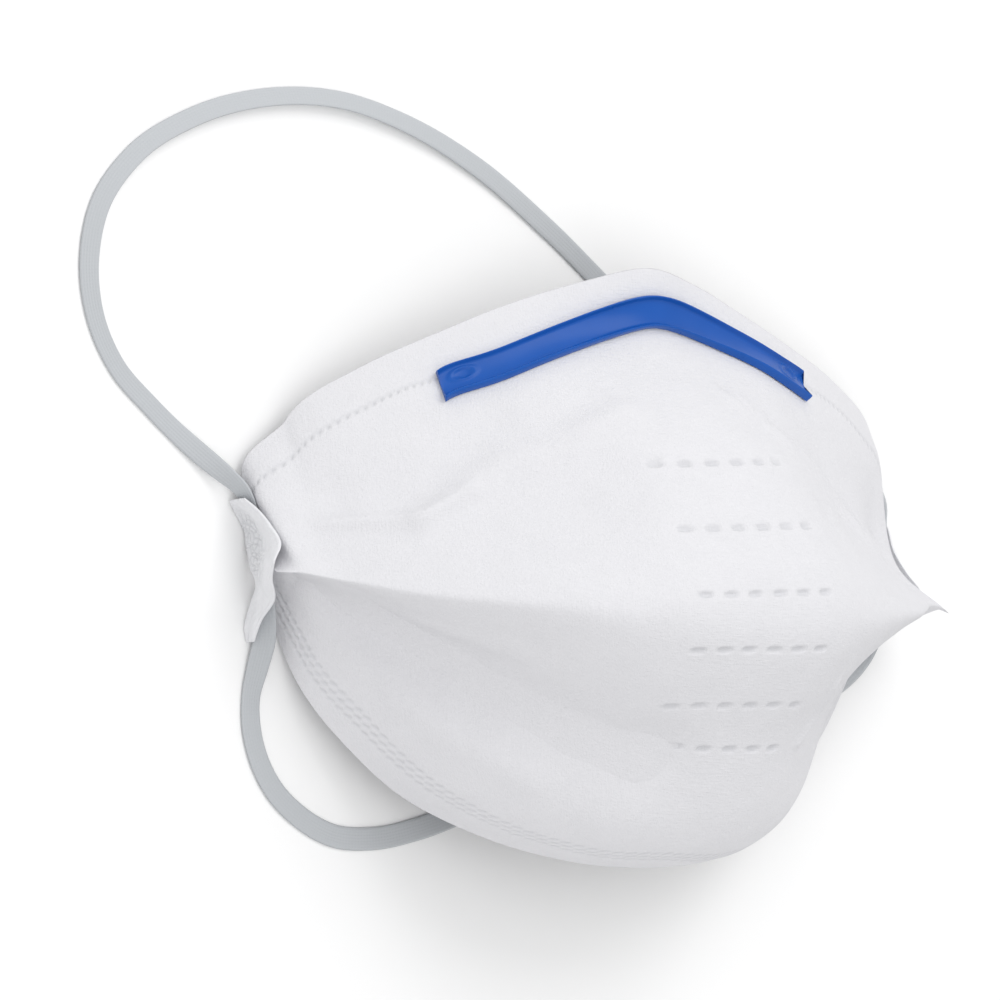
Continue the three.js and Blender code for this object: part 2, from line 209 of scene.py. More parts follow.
# %% Mesh helpers
def grid_faces(rows, columns, first=0, turned=False, wrapped=False):
    """Four-cornered faces between neighbouring rows and columns of a grid."""
    down = np.arange(rows - 1)[:, None]
    last = columns if wrapped else columns - 1
    along = np.arange(last)[None, :]
    after = (along + 1) % columns
    corners = [down * columns + along, down * columns + after]
    corners += [(down + 1) * columns + after, (down + 1) * columns + along]
    faces = np.stack([np.broadcast_to(c, (rows - 1, last)) for c in corners], -1).reshape(-1, 4) + first
    return faces[:, ::-1] if turned else faces


def new_piece(name, points, faces, material, flat_map=None, marks=None):
    """A smooth-shaded mesh object from points in the maker's millimetres."""
    mesh = bpy.data.meshes.new(name)
    mesh.from_pydata(to_metres(points).tolist(), [], [tuple(int(c) for c in face) for face in faces])
    mesh.polygons.foreach_set("use_smooth", [True] * len(mesh.polygons))
    if flat_map is not None:
        layer = mesh.uv_layers.new(name="flat_map")
        corner_points = np.zeros(len(mesh.loops), int)
        mesh.loops.foreach_get("vertex_index", corner_points)
        layer.data.foreach_set("uv", (np.asarray(flat_map, float)[corner_points]).ravel())
    for mark, values in (marks or {}).items():
        layer = mesh.attributes.new(mark, "FLOAT", "POINT")
        layer.data.foreach_set("value", np.asarray(values, np.float32).ravel())
    mesh.materials.append(material)
    piece = bpy.data.objects.new(name, mesh)
    bpy.context.scene.collection.objects.link(piece)
    mesh.update()
    print(name, "has", sum(len(p.vertices) - 2 for p in mesh.polygons), "triangles")
    return piece


def put_in_frame(piece, node):
    """The piece rides on the mask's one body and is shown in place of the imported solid."""
    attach(piece, "root")
    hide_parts(node)


# %% [markdown]
# ## Node helpers
# A finish is a small network of nodes. These few lines add a node, set its numbers and join it up,
# so that each finish below reads as a short recipe.

# %% Helpers for finishes
def set_socket(material, socket, value):
    """Sets an input to a number, or joins it to another node's socket."""
    if isinstance(value, bpy.types.NodeSocket):
        material.node_tree.links.new(value, socket)
    else:
        socket.default_value = value


def add_node(material, kind, settings=None, **inputs):
    """A node with its settings and inputs. An input is named, or is i0, i1 and so on by its number."""
    node = material.node_tree.nodes.new(kind)
    for key, value in (settings or {}).items():
        setattr(node, key, value)
    for key, value in inputs.items():
        numbered = key[0] == "i" and key[1:].isdigit()
        socket = node.inputs[int(key[1:]) if numbered else key.replace("_", " ")]
        set_socket(material, socket, value)
    return node


def calculate(material, operation, first, second=0.0):
    """One sum on two numbers or sockets."""
    return add_node(material, "ShaderNodeMath", {"operation": operation}, i0=first, i1=second).outputs[0]


def times(material, first, second):
    return calculate(material, "MULTIPLY", first, second)


def plus(material, first, second):
    return calculate(material, "ADD", first, second)


def times_plus(material, value, factor, more):
    """A value times a factor, and a number added."""
    settings = {"operation": "MULTIPLY_ADD"}
    return add_node(material, "ShaderNodeMath", settings, i0=value, i1=factor, i2=more).outputs[0]


def mix_colours(material, share, first, second):
    """A colour between two others."""
    node = add_node(material, "ShaderNodeMix", {"data_type": "RGBA"}, i0=share, i6=first, i7=second)
    return node.outputs[2]


def from_to(material, value, low, high):
    """Turns 0 to 1 into low to high."""
    return add_node(material, "ShaderNodeMapRange", Value=value, i3=low, i4=high).outputs[0]


def join(material, socket, target):
    material.node_tree.links.new(socket, target)


# %% [markdown]
# ## The elastic's finish
# The headbands are flat knitted elastic: rubber threads run lengthwise inside a fine grey knit. The
# knit shows as narrow lengthwise ribs crossed by tiny loops, with painted shade in the low places
# between them, and it is duller than plastic. The flat map is in millimetres, so the ribs can be given their
# true spacing with plain sines.

# %% Make the elastic's finish
ELASTIC_GREY = (0.50, 0.52, 0.54, 1)
ELASTIC_GROOVE_SHADE = (0.42, 0.44, 0.465, 1)
FUZZ_GREY = (0.60, 0.615, 0.63, 1)
RIB_SPACING = 0.62
LOOP_SPACING = 0.75
RIB_SHARE, LOOP_SHARE, LOOP_SWAY = 0.5, 0.35, 0.9
FULL_TURN = 6.283


def elastic_finish():
    """Grey knit with lengthwise ribs and small loops across them, painted shade in their low places, and a
    little fuzz.
    """
    material, shader = plain_node_material("knitted_elastic")
    place = add_node(material, "ShaderNodeUVMap", {"uv_map": "flat_map"})
    parts = add_node(material, "ShaderNodeSeparateXYZ", Vector=place.outputs[0])
    along, over = parts.outputs[0], parts.outputs[1]
    rib_wave = calculate(material, "SINE", times(material, over, FULL_TURN / RIB_SPACING))
    sway = times(material, rib_wave, LOOP_SWAY)
    loop_at = plus(material, times(material, along, FULL_TURN / LOOP_SPACING), sway)
    loop_wave = calculate(material, "SINE", loop_at)
    knit = plus(material, times(material, rib_wave, RIB_SHARE), times(material, loop_wave, LOOP_SHARE))
    fuzz = add_node(material, "ShaderNodeTexNoise", Scale=900.0, Detail=3.0).outputs[0]
    # Painted shade: the colour follows the knit's relief, so its low places between ribs and loops get the
    # darker grey.
    colour = mix_colours(material, times_plus(material, knit, 0.22, 0.5), ELASTIC_GROOVE_SHADE, ELASTIC_GREY)
    colour = mix_colours(material, times(material, fuzz, 0.25), colour, FUZZ_GREY)
    join(material, colour, shader.inputs["Base Color"])
    height = plus(material, knit, times(material, fuzz, 0.6))
    bump = add_node(material, "ShaderNodeBump", Strength=0.2, Distance=0.0001, Height=height)
    join(material, bump.outputs[0], shader.inputs["Normal"])
    join(material, times_plus(material, fuzz, 0.2, 0.6), shader.inputs["Roughness"])
    shader.inputs["Sheen Weight"].default_value = 0.15
    return material


elastic = elastic_finish()
print("rib spacing", RIB_SPACING, "mm")

# %% [markdown]
# ## The two headbands
# Each band is a free length of flat elastic. It leaves the flap at one ear on its edge, turns flat
# as it comes down, lies on the surface in one lazy loop, passes under the rim of the cup and comes
# up to the flap at the other ear. A tube would be wrong for a flat band, so a thin section with
# soft edges is carried along the route, turned by the lean that the route gives for each place.

# %% Routes of the headbands, in millimetres, with the band's lean in degrees
UPPER_WIDTH, LOWER_WIDTH = 4.3, 4.8
BAND_WALL = 0.7
BAND_LIES_AT = 0.42
UPPER_ROUTE = [
    (-81.2, 3.5, 3.6, 98), (-83.4, 7.4, 4.4, 88), (-85.8, 10.4, 4.3, 66), (-89, 13.2, 3.2, 44),
    (-93.5, 16.8, 1.7, 22), (-99, 21, 0.7, 6), (-106, 26.5, 0.42, 0), (-115, 34.5, 0.42, 0),
    (-120.7, 44, 0.6, 5), (-123.1, 55, 1, 14), (-120.7, 68, 1.3, 24), (-112.6, 78, 1.5, 30),
    (-98, 86, 1.5, 30), (-79, 90.6, 1.5, 30), (-61, 90.6, 1.4, 27), (-44, 86.4, 1.1, 20),
    (-25, 78, 0.7, 8), (-5, 65, 0.42, 0), (15, 50, 0.42, 0), (38, 36, 0.42, 0),
    (58, 26, 0.42, 0), (71, 21, 0.42, 0), (75.8, 18.2, 0.42, 0), (78.6, 14.6, 0.9, -24),
    (79.8, 11, 2.1, -60), (79.9, 7.5, 2.9, -85), (79.8, 3.5, 3, -86),
]
LOWER_ROUTE = [
    (-79, -10, 4, -78), (-78.2, -14.5, 3.6, -60), (-77.4, -20, 2.6, -36), (-78, -26, 1.3, -16),
    (-78.8, -31.5, 0.42, 0), (-78.6, -38, 0.42, 0), (-76.8, -44, 0.42, 0), (-72.5, -50.8, 0.42, 0),
    (-65.5, -56.4, 0.42, 0), (-57, -60, 0.42, 0), (-47, -60.4, 0.42, 0), (-35.5, -58.2, 0.42, 0),
    (-20, -53, 0.42, 0), (2, -45.5, 0.42, 0), (28, -38.5, 0.42, 0), (50, -33, 0.42, 0),
    (63, -29, 0.42, 0), (70.6, -26.6, 0.42, 0), (75.4, -22.6, 0.9, 22), (78, -18, 2.4, 58),
    (79.4, -13.8, 3.5, 78), (80.1, -10.2, 4, 84),
]


# %% Carry the band's section along a route
BAND_STEP = 1.1
BAND_ROUND = 10
RIB_HEIGHT = 0.045
EDGE_FULLNESS, RIB_FADE = 7, 8
RIBS_START = 0.86


def band_section(width):
    """Points round the flat section: place across it, place through it, both in millimetres."""
    half, thin = width / 2, BAND_WALL / 2
    across = np.linspace(-1, 1, 2 * BAND_ROUND + 1)
    soft = thin * np.sqrt(np.clip(1 - np.abs(across) ** EDGE_FULLNESS, 0, 1))
    rib = RIB_HEIGHT * np.cos(across * half * 2 * np.pi / RIB_SPACING) * (1 - across**RIB_FADE)
    top = np.stack([across * half, np.maximum(soft * RIBS_START + rib, 0.0)], 1)
    return np.concatenate([top, top[-2:0:-1] * [1, -1]])


def headband(piece_name, node, route, width):
    """A flat band along its route."""
    route = np.array(route, float)
    stops = route[:, :3]
    knots = chain_knots(stops)
    count = int(knots[-1] / BAND_STEP)
    at = np.linspace(0, knots[-1], count + 1)
    centre = curve(knots, stops, at)
    ahead = unit(np.gradient(centre, axis=0))
    sideways = unit(np.stack([ahead[:, 1], -ahead[:, 0], 0 * at], 1))
    lean = np.radians(curve(knots, route[:, 3], at))[:, None]
    wide = sideways * np.cos(lean) + np.array([0, 0, 1]) * np.sin(lean)
    thick = unit(np.cross(wide, ahead))
    section = band_section(width)
    rings = centre[:, None] + section[None, :, :1] * wide[:, None] + section[None, :, 1:] * thick[:, None]
    rings[..., 2] = np.maximum(rings[..., 2], BAND_LIES_AT - BAND_WALL / 2)
    rows, columns = rings.shape[:2]
    faces = list(grid_faces(rows, columns, wrapped=True))
    faces.append(tuple(range(columns)))
    faces.append(tuple(range((rows - 1) * columns, rows * columns))[::-1])
    flat_map = np.stack([np.repeat(at, columns), np.tile(section[:, 0], rows)], 1)
    band = new_piece(piece_name, rings.reshape(-1, 3), faces, elastic, flat_map)
    put_in_frame(band, node)


headband("upper_elastic_band", "upper_headband", UPPER_ROUTE, UPPER_WIDTH)
headband("lower_elastic_band", "lower_headband", LOWER_ROUTE, LOWER_WIDTH)

# %% [markdown]
# ## The sheet as a surface
# The cup is drawn by sections from ear to ear. Each section starts at the nose rim, swells a little,
# crosses the front fold and ends at the chin rim. The fold is round over the mouth, where the cloth
# has opened fully, and sharp at the ears, where it is still folded. The tables below hold one entry
# for each section, from the middle to the ear. Both sides share them, but no opened mask is quite
# even: the left cheek and belly swell by their own numbers, the nose rim flares at its left corner,
# and the right tip droops.

# %% Tables of the sheet's sections, in millimetres
BROW = [
    (0, 58, 27), (14, 55, 24), (29, 50, 19), (46, 43, 15),
    (61, 36, 11), (74, 27, 6), (78.2, 13, 2), (78.8, -4, 0),
]
FOLD = [
    (0, -13, 71), (17, -13, 70), (33, -13, 64), (48, -12, 54),
    (63, -11, 41), (75, -9, 28), (82, -8, 22), (86, -8, 18),
]
JAW = [
    (0, -65, 27), (15, -64, 25), (31, -60, 19), (47, -52, 11),
    (60, -41, 7), (69, -30, 4), (73.5, -17, 0), (78.8, -4, 0),
]
BRIDGE = [-4.5, -3, 0, 0, 0, 0, 0, -0.8]
CHEEK = [2.5, 3, -0.4, -4, -5, -7, -3.8, -0.6]
CHEEK_LEFT = [2.5, 1.5, -2, -3, -2.8, -2, 0.2, -0.6]
BELLY = [4.5, 4, 1, -3, -6, -7, 0.6, -0.6]
BELLY_LEFT = [4.5, 4, 1, -3, -6, -6, -3, -0.6]
CHIN = [6.5, 6.5, 5, 2, -1, -1, -1, -0.8]
SOFT = [1, 1, 0.8, 0.5, 0.2, 0, 0, 0]
BRIDGE_AT, CHEEK_AT, BELLY_AT, CHIN_AT = 0.12, 0.58, 0.42, 0.88
TIP_SKEW = np.array([0.4, -1.6, -0.4])
RIGHT_TIP_DROOP = np.array([0.8, -1.4, 0.2])
CORNER_FLARE, CORNER_AT, CORNER_REACH = 6.2, -5.85, 0.65
LAST = len(BROW) - 1
FOLD_KNOT = 3
NUDGE = 0.05


# %% Points of the rims and the fold
def column(half, across, odd=False, left=None):
    """Numbers of one table column at places across the mask, from -LAST to LAST."""
    half = np.asarray(half, float)
    mirrored = np.asarray(half if left is None else left, float)[:0:-1]
    values = np.concatenate([-mirrored if odd else mirrored, half])
    return curve(np.arange(-LAST, LAST + 1.0), values, across)


def bump_curve(t):
    """One at 0, easing to nothing at -1 and 1."""
    return np.clip(1 - t * t, 0, None) ** 2


def edge_points(table, across):
    """Points of a rim or of the fold, with the flare and the lean that it has."""
    numbers = np.asarray(table, float)
    points = np.stack([column(numbers[:, k], across, odd=k == 0) for k in range(3)], -1)
    if table is BROW:
        points[..., 0] -= CORNER_FLARE * bump_curve((across - CORNER_AT) / CORNER_REACH)
    if table is FOLD:
        points += TIP_SKEW * ((across / LAST) ** 3)[..., None]
        points += RIGHT_TIP_DROOP * (np.maximum(across / LAST, 0) ** 4)[..., None]
    return points


def beside(across, first, second, share, out, out_left=None):
    """Points beside the straight line from one edge to another, moved out of the cup."""
    def place(where):
        return edge_points(first, where) * (1 - share) + edge_points(second, where) * share

    along = edge_points(second, across) - edge_points(first, across)
    middle = np.clip(across, NUDGE - LAST, LAST - NUDGE)
    sideways = place(middle + NUDGE) - place(middle - NUDGE)
    outward = unit(np.cross(sideways, -along))
    t = np.clip(np.abs(across) - (LAST - 1), 0, 1)
    ease = (t * t * (3 - 2 * t))[:, None]
    ear = np.stack([np.sign(across), 0 * across, 0 * across], 1)
    outward = unit(outward * (1 - ease) + ear * ease)
    return place(across) + outward * column(out, across, left=out_left)[:, None]


# %% The curve of each section
def section_curves(across):
    """For each place across, the seven points of the section, their knots and their slopes."""
    stack = np.stack([
        edge_points(BROW, across),
        beside(across, BROW, FOLD, BRIDGE_AT, BRIDGE),
        beside(across, BROW, FOLD, CHEEK_AT, CHEEK, CHEEK_LEFT),
        edge_points(FOLD, across),
        beside(across, FOLD, JAW, BELLY_AT, BELLY, BELLY_LEFT),
        beside(across, FOLD, JAW, CHIN_AT, CHIN),
        edge_points(JAW, across),
    ], 1)
    soft = np.clip(column(SOFT, across), 0, 1)
    curves = []
    for points, softness in zip(stack, soft):
        knots = chain_knots(points)
        slope = slopes(knots, points)
        slope_in, slope_out = slope.copy(), slope.copy()
        before = (points[3] - points[2]) / (knots[3] - knots[2])
        after = (points[4] - points[3]) / (knots[4] - knots[3])
        slope_in[FOLD_KNOT] = before + (slope[FOLD_KNOT] - before) * softness
        slope_out[FOLD_KNOT] = after + (slope[FOLD_KNOT] - after) * softness
        curves.append((knots, points, slope_out, slope_in))
    return curves


def sheet_points(across, distances):
    """A grid of points. distances gives the places down a section, from its knots and its number."""
    rows = []
    for knots, points, slope_out, slope_in in section_curves(across):
        rows.append(between(knots, points, slope_out, slope_in, distances(knots, len(rows))))
    grid = np.array(rows).transpose(1, 0, 2)
    grid[..., 2] = np.maximum(grid[..., 2], 0)
    return grid


middle_section = section_curves(np.array([0.0]))[0]
print("the middle section is", round(float(middle_section[0][-1])), "mm from rim to rim")

# %% [markdown]
# ## Rows and columns of the cloth's grid
# The welds are small, so the grid has to be fine where they are and may be coarse elsewhere. The
# columns are spaced evenly along the chin rim, four to each weld. The rows are close together in the
# hems and at the six rows of pressed dashes over the mouth, and wider apart between them.

# %% Choose the columns and the rows
WELD_PITCH = 2.5
COLUMNS_PER_WELD = 4
UPPER_HEM, LOWER_HEM = 10.0, 14.0
CRIMP_LINE = {"across": [0, 2.6, 3.5, 4.6, 5.4, 6.1, 7], "from_rim": [11, 11, 8.8, 8.5, 7.4, 4.2, 2]}
WELD_LINE = {"across": [0, 1.3, 2.5, 3.5, 4.5, 5.5, 6.5, 7], "from_rim": [12, 10.4, 9.2, 7.6, 6.2, 5, 3, 2]}
DASH_ROWS_Y = [18.3, 5.2, -8.2, -19.8, -31.2, -40.3]
UPPER_ROWS, UPPER_REACH = 46, 0.034
LOWER_ROWS, LOWER_REACH = 40, 0.038
ROWS_AT_DASHES, CLEAR_OF_DASHES = 14, 1.1
HEM_SQUEEZE = 1.8
FINE_STEPS = 2000

fine_across = np.linspace(-LAST, LAST, 1401)
chin_rim_length = chain_knots(edge_points(JAW, fine_across))
weld_count = int(round(chin_rim_length[-1] / WELD_PITCH))
column_count = weld_count * COLUMNS_PER_WELD + 1
column_at = np.interp(np.linspace(0, chin_rim_length[-1], column_count), chin_rim_length, fine_across)


def middle_places():
    """Where down the middle section each row of dashes lies, as a share of its panel."""
    knots, points, slope_out, slope_in = middle_section
    at = np.linspace(0, knots[-1], FINE_STEPS)
    heights = between(knots, points, slope_out, slope_in, at)[:, 1]
    found = np.interp([-y for y in DASH_ROWS_Y], -heights, at)
    fold_at = knots[FOLD_KNOT]
    upper = (found[:3] - UPPER_HEM) / (fold_at - UPPER_HEM)
    lower = (found[3:] - fold_at) / (knots[-1] - fold_at - LOWER_HEM)
    return upper, lower


def panel_shares(dashes, count, reach):
    """Shares of a panel from 0 to 1, closer together at the rows of dashes."""
    base = np.linspace(0, 1, count)
    extra = np.concatenate([dash + np.linspace(-reach, reach, ROWS_AT_DASHES) for dash in dashes])
    away = base[np.min(np.abs(base[:, None] - dashes[None, :]), axis=1) > reach * CLEAR_OF_DASHES]
    return np.unique(np.round(np.concatenate([away, extra, [0, 1]]), 5))


upper_dashes, lower_dashes = middle_places()
upper_shares = panel_shares(upper_dashes, UPPER_ROWS, UPPER_REACH)
lower_shares = panel_shares(lower_dashes, LOWER_ROWS, LOWER_REACH)
crimp_line = np.interp(np.abs(column_at), CRIMP_LINE["across"], CRIMP_LINE["from_rim"])
weld_line = np.interp(np.abs(column_at), WELD_LINE["across"], WELD_LINE["from_rim"])
EDGE_ROWS = np.array([0, 0.03, 0.1, 0.25, 0.45, 0.7])
CRIMP_ROWS = np.linspace(-1.1, 1.1, 9)
WELD_ROWS_AROUND = np.linspace(-2.2, 2.2, 15)


def hem_rows(line, around):
    """Rows from a rim to a line of marks and a little past it, all squeezed where the line is near."""
    squeeze = min(1, line / (abs(around[0]) * HEM_SQUEEZE))
    first = line + around[0] * squeeze
    return np.concatenate([EDGE_ROWS * first, line + around * squeeze])


def rows_down(knots, number):
    """Places of the rows down one section: hem, upper panel, fold, lower panel, hem."""
    fold_at, end = knots[FOLD_KNOT], knots[-1]
    upper = hem_rows(crimp_line[number], CRIMP_ROWS)
    lower = end - hem_rows(weld_line[number], WELD_ROWS_AROUND)[::-1]
    return np.concatenate([
        upper,
        (upper[-1] + upper_shares * (fold_at - upper[-1]))[1:],
        (fold_at + lower_shares * (lower[0] - fold_at))[1:],
        lower[1:],
    ])


cloth = sheet_points(column_at, rows_down)
column_knots = [knots for knots, *_ in section_curves(column_at)]

# %% Round the front fold
FOLD_RADIUS = 1.1
ROUNDED_REACH, AVERAGED_REACH = 3.5, 7
EVEN_STEPS = 81
TIP_CALM = 0.8


def rounded_fold(grid, reach):
    """Rounds the front fold to the soft radius of thick cloth, by averaging points that are near it."""
    away_from_tip = np.clip((LAST - np.abs(column_at)) / TIP_CALM, 0, 1)
    for c, section_knots in enumerate(column_knots):
        at = rows_down(section_knots, c)
        from_fold = at - section_knots[FOLD_KNOT]
        near = np.flatnonzero(np.abs(from_fold) < ROUNDED_REACH * reach)
        wide = np.flatnonzero(np.abs(from_fold) < AVERAGED_REACH * reach)
        even = np.linspace(at[wide[0]], at[wide[-1]], EVEN_STEPS)
        smooth = np.stack([np.interp(even, at[wide], grid[wide, c, k]) for k in range(3)], 1)
        weight = np.exp(-0.5 * ((at[near][:, None] - even[None, :]) / reach) ** 2)
        moved = weight @ smooth / weight.sum(1, keepdims=True)
        ease = bump_curve(from_fold[near] / (ROUNDED_REACH * reach))[:, None] * away_from_tip[c]
        grid[near, c] = grid[near, c] * (1 - ease) + moved * ease
    return grid


cloth = rounded_fold(cloth, FOLD_RADIUS)
print("grid of", cloth.shape[0], "rows by", cloth.shape[1], "columns")

# %% [markdown]
# ## Folds, dents and welds
# The press leaves marks in the cloth: six rows of six short dashes over the mouth, a crimped line
# inside the nose rim, and three rows of small slanted welds inside the chin rim. Unfolding leaves
# soft creases from the clip and from the folded tips. All of them are real relief here: each mark
# moves the grid's points in or out along the cloth's own outward direction.

# %% Outward directions of the cloth
def outward_of(grid):
    """Outward direction at each point of a grid whose rows run down and columns run across."""
    along = np.gradient(grid, axis=1)
    over = np.gradient(grid, axis=0)
    return unit(np.cross(over, along))


outward = outward_of(cloth)
down_at = np.array([rows_down(knots, number) for number, knots in enumerate(column_knots)]).T
fold_lengths = np.array([knots[FOLD_KNOT] for knots in column_knots])[None, :]
full_lengths = np.array([knots[-1] for knots in column_knots])[None, :]
from_chin_rim = full_lengths - down_at
column_index = np.arange(column_count)[None, :]
print("outward directions point out of the cup:", bool(outward[len(cloth) // 2, column_count // 2, 2] > 0))


# %% Pressed dashes over the mouth
DASHES_IN_ROW = 6
DASH_PITCH = 6.15
DASH_LENGTH = 3.0
DASH_HEIGHT = 1.25
DASH_DEPTH = 0.7
DASH_ROW_TILT = 0.04
DASH_ENDS, DASH_SIDES = 4, 2.4
PRESS_SOFTNESS = 0.2
LEAST_FALL, LEAST_STEP = 0.2, 1e-6
STEEPEST = 40


def smooth_edge(distance, soft):
    """1 inside, 0 outside, easing over the softness."""
    return 1 / (1 + np.exp(np.clip(distance / soft, -STEEPEST, STEEPEST)))


def dash_marks():
    """One in each pressed dash, at every point of the cloth."""
    marks = np.zeros(down_at.shape)
    steps = np.maximum(np.gradient(down_at, axis=0), LEAST_STEP)
    fall = np.abs(np.gradient(cloth[..., 1], axis=0)) / steps
    places = (np.arange(DASHES_IN_ROW) - (DASHES_IN_ROW - 1) / 2) * DASH_PITCH
    for height in DASH_ROWS_Y:
        off_row = (cloth[..., 1] - height - DASH_ROW_TILT * cloth[..., 0]) / np.maximum(fall, LEAST_FALL)
        off_row = off_row / (DASH_HEIGHT / 2)
        for place in places:
            off_place = (cloth[..., 0] - place) / (DASH_LENGTH / 2)
            round_off = (np.abs(off_place) ** DASH_ENDS + np.abs(off_row) ** DASH_SIDES) ** 0.5
            marks = np.maximum(marks, smooth_edge(round_off - 1, PRESS_SOFTNESS))
    return marks


dashes = dash_marks()
print("deepest dash mark", round(float(dashes.max()), 2))

# %% Crimped line and rows of small welds in the hems
CRIMP_PITCH_COLUMNS = 3
CRIMP_SWAY, CRIMP_HALF_HEIGHT, CRIMP_SHALLOW = 0.3, 0.45, 0.4
CRIMP_UP_TO, WELDS_UP_TO = 0.8, 0.75
WELD_ROWS = [-1.45, 0, 1.45]
WELD_HALF_HEIGHT = 0.3
WELD_SLANT, WELD_SLANT_STEP = 1, 0.2


def crimp_marks():
    """A zigzag of small pits: each is a little deeper and lower than the space before the next."""
    turn = 2 * np.pi * column_index / CRIMP_PITCH_COLUMNS
    line = crimp_line[None, :] + CRIMP_SWAY * np.cos(turn)
    off = np.abs(down_at - line)
    depth = CRIMP_SHALLOW + (1 - CRIMP_SHALLOW) * (np.cos(turn) > 0)
    pit = np.exp(-((off / CRIMP_HALF_HEIGHT) ** 2)) * depth
    return pit * (down_at < fold_lengths * CRIMP_UP_TO)


def weld_marks():
    """One in each small weld. A row is shifted a column against the next, which slants the pattern."""
    marks = np.zeros(down_at.shape)
    for number, row in enumerate(WELD_ROWS):
        phase = (column_index + number * WELD_SLANT) % COLUMNS_PER_WELD
        slanted = weld_line[None, :] + row + WELD_SLANT_STEP * (phase - (COLUMNS_PER_WELD - 1) / 2)
        off = np.abs(from_chin_rim - slanted) / WELD_HALF_HEIGHT
        marks = np.maximum(marks, smooth_edge(off - 1, PRESS_SOFTNESS) * (phase < COLUMNS_PER_WELD - 1))
    return marks * (from_chin_rim < (full_lengths - fold_lengths) * WELDS_UP_TO)


crimp = crimp_marks()
welds = weld_marks()
print("welded share of the cloth", round(float((welds > 0.5).mean()), 3))


# %% Find the clip's line on the sheet
CLIP_FROM, CLIP_TO = -3.12, 2.85
CLIP_TOP, CLIP_FALL, CLIP_BEND, CLIP_MIDDLE = 51.5, 0.385, 7.0, 0.8
CLIP_REST_HALF_WIDTH, CLIP_REST_DEPTH = 5.2, 0.12
CLIP_REST_END, CLIP_REST_SOFTNESS = 0.12, 0.25
LINE_FROM, LINE_TO, LINE_STEPS, LINE_SMOOTHNESS = 2, 24, 111, 8


def on_sheet(across, inset):
    """Points of the plain sheet at distances in from the nose rim, for each place across."""
    return np.array([
        between(knots, points, slope_out, slope_in, np.asarray(row))
        for (knots, points, slope_out, slope_in), row in zip(section_curves(across), inset)
    ])


def clip_line(at):
    """How far in from the nose rim the clip's middle line lies: two straight arms and a round bend."""
    steps = np.linspace(LINE_FROM, LINE_TO, LINE_STEPS)
    lines = on_sheet(at, np.broadcast_to(steps, (len(at), len(steps))))
    wanted = CLIP_TOP - CLIP_FALL * np.hypot(lines[..., 0] - CLIP_MIDDLE, CLIP_BEND)
    above = lines[..., 1] - wanted
    found = np.array([np.interp(0, -row, steps) for row in above])
    return np.polynomial.Chebyshev.fit(at, found, LINE_SMOOTHNESS)(at)


def clip_rest():
    """One where the clip presses the cloth flat, falling to nothing beside it."""
    inset = clip_line(np.clip(column_at, CLIP_FROM, CLIP_TO))
    beyond = np.maximum(np.maximum(CLIP_FROM - column_at, column_at - CLIP_TO), 0)
    off = np.hypot((down_at - inset[None, :]) / CLIP_REST_HALF_WIDTH, beyond[None, :] / CLIP_REST_END)
    return smooth_edge(off - 1, CLIP_REST_SOFTNESS)


pressed_by_clip = clip_rest()
print("cloth under the clip", round(float((pressed_by_clip > 0.5).mean()), 3))


# %% Creases and soft dents
HILLS = ((0.045, 0.9, (0, 0, 0)), (0.12, 0.35, (7, 3, 1)))
HILL_HEIGHT = 0.55
CRIMP_DEPTH, WELD_DEPTH = 0.35, 0.22
CALM_RIM, CALM_SOFTNESS = 2.5, 0.8
FAR_AWAY = 1e9
CREASES = [
    {"stops": [(-79, 0, 9), (-70, 2, 17), (-57.5, 4, 29.5), (-48, 10, 32)], "width": 1.9, "height": 1.2},
    {"stops": [(-57.5, 4, 29.5), (-41, 15.5, 34), (-29, 21, 38), (-16, 28, 40)], "width": 4, "height": 1.7},
    {"stops": [(-70, 9, 17), (-54, 14, 26), (-40, 24, 30)], "width": 5, "height": -1},
    {"stops": [(13, 33.5, 35.5), (17, 29, 39), (25, 23.5, 39), (40, 18, 33), (47.5, 12.5, 30.5),
               (58, 5, 27), (74, -4, 20)],
     "width": 1.1, "height": -0.7},
    {"stops": [(14, 31, 38), (25, 21.5, 41), (40, 15.5, 34.5), (57, 2, 29)], "width": 2.6, "height": 0.9},
    {"stops": [(-76, -10, 13), (-58.5, -19.5, 23.5), (-45, -29.5, 33.5), (-30, -38, 45), (-16, -43, 51)],
     "width": 8.5, "height": -3},
    {"stops": [(-74, -11, 9), (-60, -26, 16), (-46, -38, 25), (-32, -46, 34)], "width": 4, "height": 1.1},
    {"stops": [(-76, -9, 14), (-60, -15, 27), (-44, -20, 43)], "width": 3, "height": 0.8},
    {"stops": [(28, -26, 57), (28, -32, 51), (26, -38, 48)], "width": 1.6, "height": 0.8},
]


def on_cloth(stop):
    """The point of the plain cloth that is nearest to a place."""
    flat = cloth.reshape(-1, 3)
    return flat[np.argmin(((flat - np.asarray(stop, float)) ** 2).sum(1))]


def along_line(stops, width):
    """Strength of a mark that runs along a chain of points, at every point of the cloth."""
    stops = np.array([on_cloth(stop) for stop in stops])
    nearest = np.full(cloth.shape[:2], FAR_AWAY)
    for a, b in zip(stops[:-1], stops[1:]):
        step = b - a
        t = np.clip(((cloth - a) @ step) / (step @ step), 0, 1)
        nearest = np.minimum(nearest, np.linalg.norm(cloth - (a + t[..., None] * step), axis=-1))
    return np.exp(-((nearest / width) ** 2))




def soft_dents():
    """Slow hills and hollows of a cloth that was folded and opened again."""
    def height_at(point):
        return sum(noise.noise(point * scale + Vector(shift)) * height for scale, height, shift in HILLS)

    heights = [height_at(Vector(point)) for point in cloth.reshape(-1, 3)]
    return np.array(heights).reshape(cloth.shape[:2])


